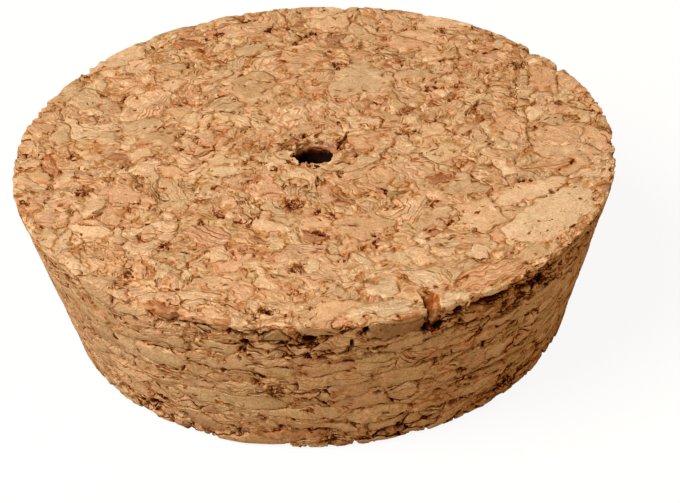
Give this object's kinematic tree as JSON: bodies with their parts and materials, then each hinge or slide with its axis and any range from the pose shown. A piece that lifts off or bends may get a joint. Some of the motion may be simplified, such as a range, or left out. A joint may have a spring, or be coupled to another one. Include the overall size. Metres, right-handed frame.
{
  "type": "cork stopper",
  "caption": "Tapered round stopper of agglomerated cork, wide face up, with a small hole drilled down its axis and a worn, chipped rim.",
  "frame": {"origin": "middle of the narrow bottom face, on the axis of the hole", "axes": "+Z along the hole towards the wide top face; the groove across the top rim lies 70 degrees round from +X towards -Y"},
  "size_m": [0.0998, 0.0998, 0.03],
  "materials": {
    "agglomerated_cork": "raw cut cork granules, matt, unsealed"
  },
  "bodies": {
    "root": {"stopper": "agglomerated_cork"}
  },
  "joints": []
}
